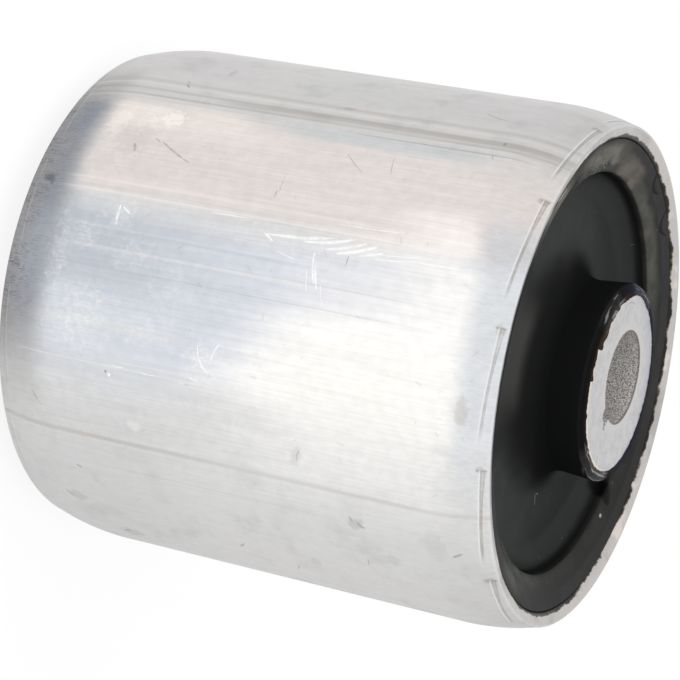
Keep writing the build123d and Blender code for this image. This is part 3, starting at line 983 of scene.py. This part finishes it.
# inner sleeve
sleeveSettings = {
    "steps": 360,
    "section": [
        (11.2, middle, 0.22, 3, 12),
        (5.85, middle, 0.15, 2, 8),
        (5.85, 35.3, 0.0, 0, 12),
    ],
    "boreCentre": (-0.45, -0.78, 0.0),
    "slide": (10.8, 6.0),  # outside the first radius nothing is slid, and inside the second all of it is
    # the dent in the bore's mouth: azimuth, how far out it reaches
    "nick": [(42, 0.05), (45, 0.9), (49, 1.15), (55, 1.2), (60, 1.4), (62.5, 1.6), (64, 0.9), (65.5, 0.0)],
    "nickDepth": 1.5,
    "nickShare": (0.7, 1.0),  # the shares of the slide between which the dent comes to the full
}


# the section is spun about the sleeve's own axis, then its inner part is slid to where the bore is
def offsetBore(bm, settings):
    still, slid = settings["slide"]
    for v in bm.verts:
        radius, height, azimuth, outward = locate(v)
        share = min(max((still - radius) / (still - slid), 0), 1)
        deep = smooth(settings["nickDepth"] * 0.8, settings["nickDepth"], middle - height)
        dent = readOff(settings["nick"], azimuth) * smooth(*settings["nickShare"], share) * (1 - deep)
        v.co += outward * dent * mm
        v.co += Vector(settings["boreCentre"]) * share * mm


sleeveLooks = {
    "face": (0.60, 0.598, 0.60),
    "shade": (0.485, 0.482, 0.49),
    "lilac": (0.455, 0.465, 0.505),
    "cream": (0.80, 0.70, 0.60),
    "blush": (0.70, 0.645, 0.62),
    # the bore is painted darker than the face: its grain, and painted shade inside the hole
    "bore": ((0.175, 0.165, 0.158), (0.58, 0.56, 0.54)),  # the dark and the pale of its grain
    "brim": (0.10, 0.09, 0.08),
    "crackLine": (0.16, 0.15, 0.14),
    "crackRadius": 10.2,
    "crack": (-78, 10.2, 4.2, 0.16, 0, -0.5),  # around, out, length, width, tilt, bend
}


def buildSleeveMaterial(looks, settings):
    material, tree, surface = startMaterial("cutAluminium")
    at = useGroup(place, {}, tree)
    around, out = at["Around"], at["Out"]
    axis = addNode("VectorMath", {0: at["Solid"], 1: settings["boreCentre"]}, operation="SUBTRACT")
    fromBore = fromAxis(addNode("SeparateXYZ", {0: axis.outputs[0]}).outputs)
    end = minus(middle, calc("ABSOLUTE", at["Along"]))
    inShadedBore = times(fall(fromBore, 7.8, 7.9), ease(end, 0.02, 0.08))
    grain = addNoise(at["Solid"], 6.5, 3.0, 0.6)
    cloud = addNoise(at["Solid"], 0.7, 4.0, 0.65)
    speckle = ease(grain, 0.42, 0.58)
    aside = apart(around, 20.0)
    crackAcross = times(around, radians(looks["crackRadius"]))
    layers = {
        "shade": (scaled(speckle, 0.3, ease(cloud, 0.4, 0.65, 0.0, 0.6)),),
        "lilac": (ease(aside, 110.0, 160.0), ease(out, 8.0, 10.5, 0.0, 0.7)),
        "blush": (ease(fromBore, 5.9, 7.6, 0.55, 0.0), ease(cloud, 0.42, 0.56)),
        "cream": (fall(aside, 45.0, 80.0), ease(out, 10.7, 11.0, 0.0, 0.8)),
        "crackLine": (scratchMask(crackAcross, out, looks["crackRadius"], looks["crack"]), 0.6),
    }
    colour = looks["face"]
    for name, shares in layers.items():
        colour = paint(colour, looks[name], *shares)
    # bore walls painted dark, partly as shade inside the hole
    colour = paint(colour, paint(*looks["bore"], speckle), inShadedBore)
    brim = times(ease(fromBore, 6.02, 5.94), ease(end, 0.3, 0.12))
    colour = paint(colour, looks["brim"], brim, 0.75)
    feed(surface, {"Base Color": colour, "Metallic": scaled(inShadedBore, -0.85, 1.0),
                   "Roughness": scaled(inShadedBore, 0.2, 0.48), "Normal": addBump(grain, 0.3, 0.05)})
    return material


def buildSleeve(settings):
    bm = drawSection(bothEnds(settings["section"]))
    spinSection(bm, settings["steps"])
    offsetBore(bm, settings)
    material = buildSleeveMaterial(sleeveLooks, settings)
    finishPiece(bm, "innerSleeve", "inner_sleeve", material)


buildSleeve(sleeveSettings)
print("sleeve done")


# floor, light and camera
studio = {
    "floorSize": 3.0,
    "floorColour": (0.86, 0.86, 0.86),
    "floorGlow": {"camera": 0.86, "glossy": 0.45, "strength": 1.03},
    "worldDiffuse": 0.6,
    "worldSeen": 1.02,
    "lamps": [  # azimuth, elevation, distance, size, power
        (8, 40, 0.9, (0.9, 0.5), 4.5),
        (-80, 55, 0.9, (0.8, 0.5), 3.0),
    ],
    "lampAim": (0, 0, 0.037),
    "lens": 128.98,
    "sensor": 36.0,
    "cameraSpot": (0.287826, 0, 0.168110),
    "cameraAim": (0, 0.001524, 0.035759),
    "cameraRoll": 101.28,
}


# the rays that the pale room is kept for, besides the camera's own
def mirrored(ray):
    return most(ray["Is Glossy Ray"], ray["Is Transmission Ray"])


def buildFloor(settings):
    bm = bmesh.new()
    bmesh.ops.create_grid(bm, x_segments=8, y_segments=8, size=settings["floorSize"] / 2)
    material, tree, surface = startMaterial("paleFloor")
    feed(surface, {"Base Color": (*settings["floorColour"], 1), "Roughness": 0.9,
                   "Specular IOR Level": 0.0})
    shine = settings["floorGlow"]
    ray = addNode("LightPath", {}, tree).outputs
    glow = addNode("Emission", {"Color": (1, 1, 1, 1), "Strength": shine["strength"]}, tree)
    share = plus(times(ray["Is Camera Ray"], shine["camera"]), times(mirrored(ray), shine["glossy"]))
    mix = addNode("MixShader", {0: share, 1: surface.outputs[0], 2: glow.outputs[0]})
    feed(tree.nodes["Material Output"], {"Surface": mix.outputs[0]})
    placeMesh(bm, "paleFloor", material)


def buildWorld(settings):
    world = bpy.data.worlds.new("paleStudio")
    bpy.context.scene.world = world
    world.use_nodes = True
    tree = world.node_tree
    ray = addNode("LightPath", {}, tree).outputs
    seen = most(ray["Is Camera Ray"], mirrored(ray))
    strength = ease(seen, 0.0, 1.0, settings["worldDiffuse"], settings["worldSeen"])
    feed(tree.nodes["Background"], {"Color": (1, 1, 1, 1), "Strength": strength})


def buildLamps(settings):
    for azimuth, elevation, distance, size, power in settings["lamps"]:
        lamp = bpy.data.lights.new("softbox", "AREA")
        lamp.shape, lamp.size, lamp.size_y, lamp.energy = "RECTANGLE", size[0], size[1], power
        box = bpy.data.objects.new("softbox", lamp)
        around, up = radians(azimuth), radians(elevation)
        away = Vector((cos(around) * cos(up), sin(around) * cos(up), sin(up)))
        box.location = Vector(settings["lampAim"]) + away * distance
        box.rotation_euler = away.to_track_quat("Z", "Y").to_euler()
        box.visible_glossy = False  # polished metal mirrors the pale room, not the lamps
        bpy.context.scene.collection.objects.link(box)


def buildCamera(settings):
    camera = bpy.data.cameras.new("camera")
    camera.lens, camera.sensor_width, camera.clip_start = settings["lens"], settings["sensor"], 0.01
    eye = bpy.data.objects.new("camera", camera)
    spot, aim = Vector(settings["cameraSpot"]), Vector(settings["cameraAim"])
    roll = Quaternion((0, 0, 1), radians(settings["cameraRoll"]))
    eye.location, eye.rotation_euler = spot, ((aim - spot).to_track_quat("-Z", "Y") @ roll).to_euler()
    bpy.context.scene.collection.objects.link(eye)
    bpy.context.scene.camera = eye


buildFloor(studio)
buildWorld(studio)
buildLamps(studio)
buildCamera(studio)
bpy.context.scene.view_settings.view_transform = "Standard"
print("studio done")
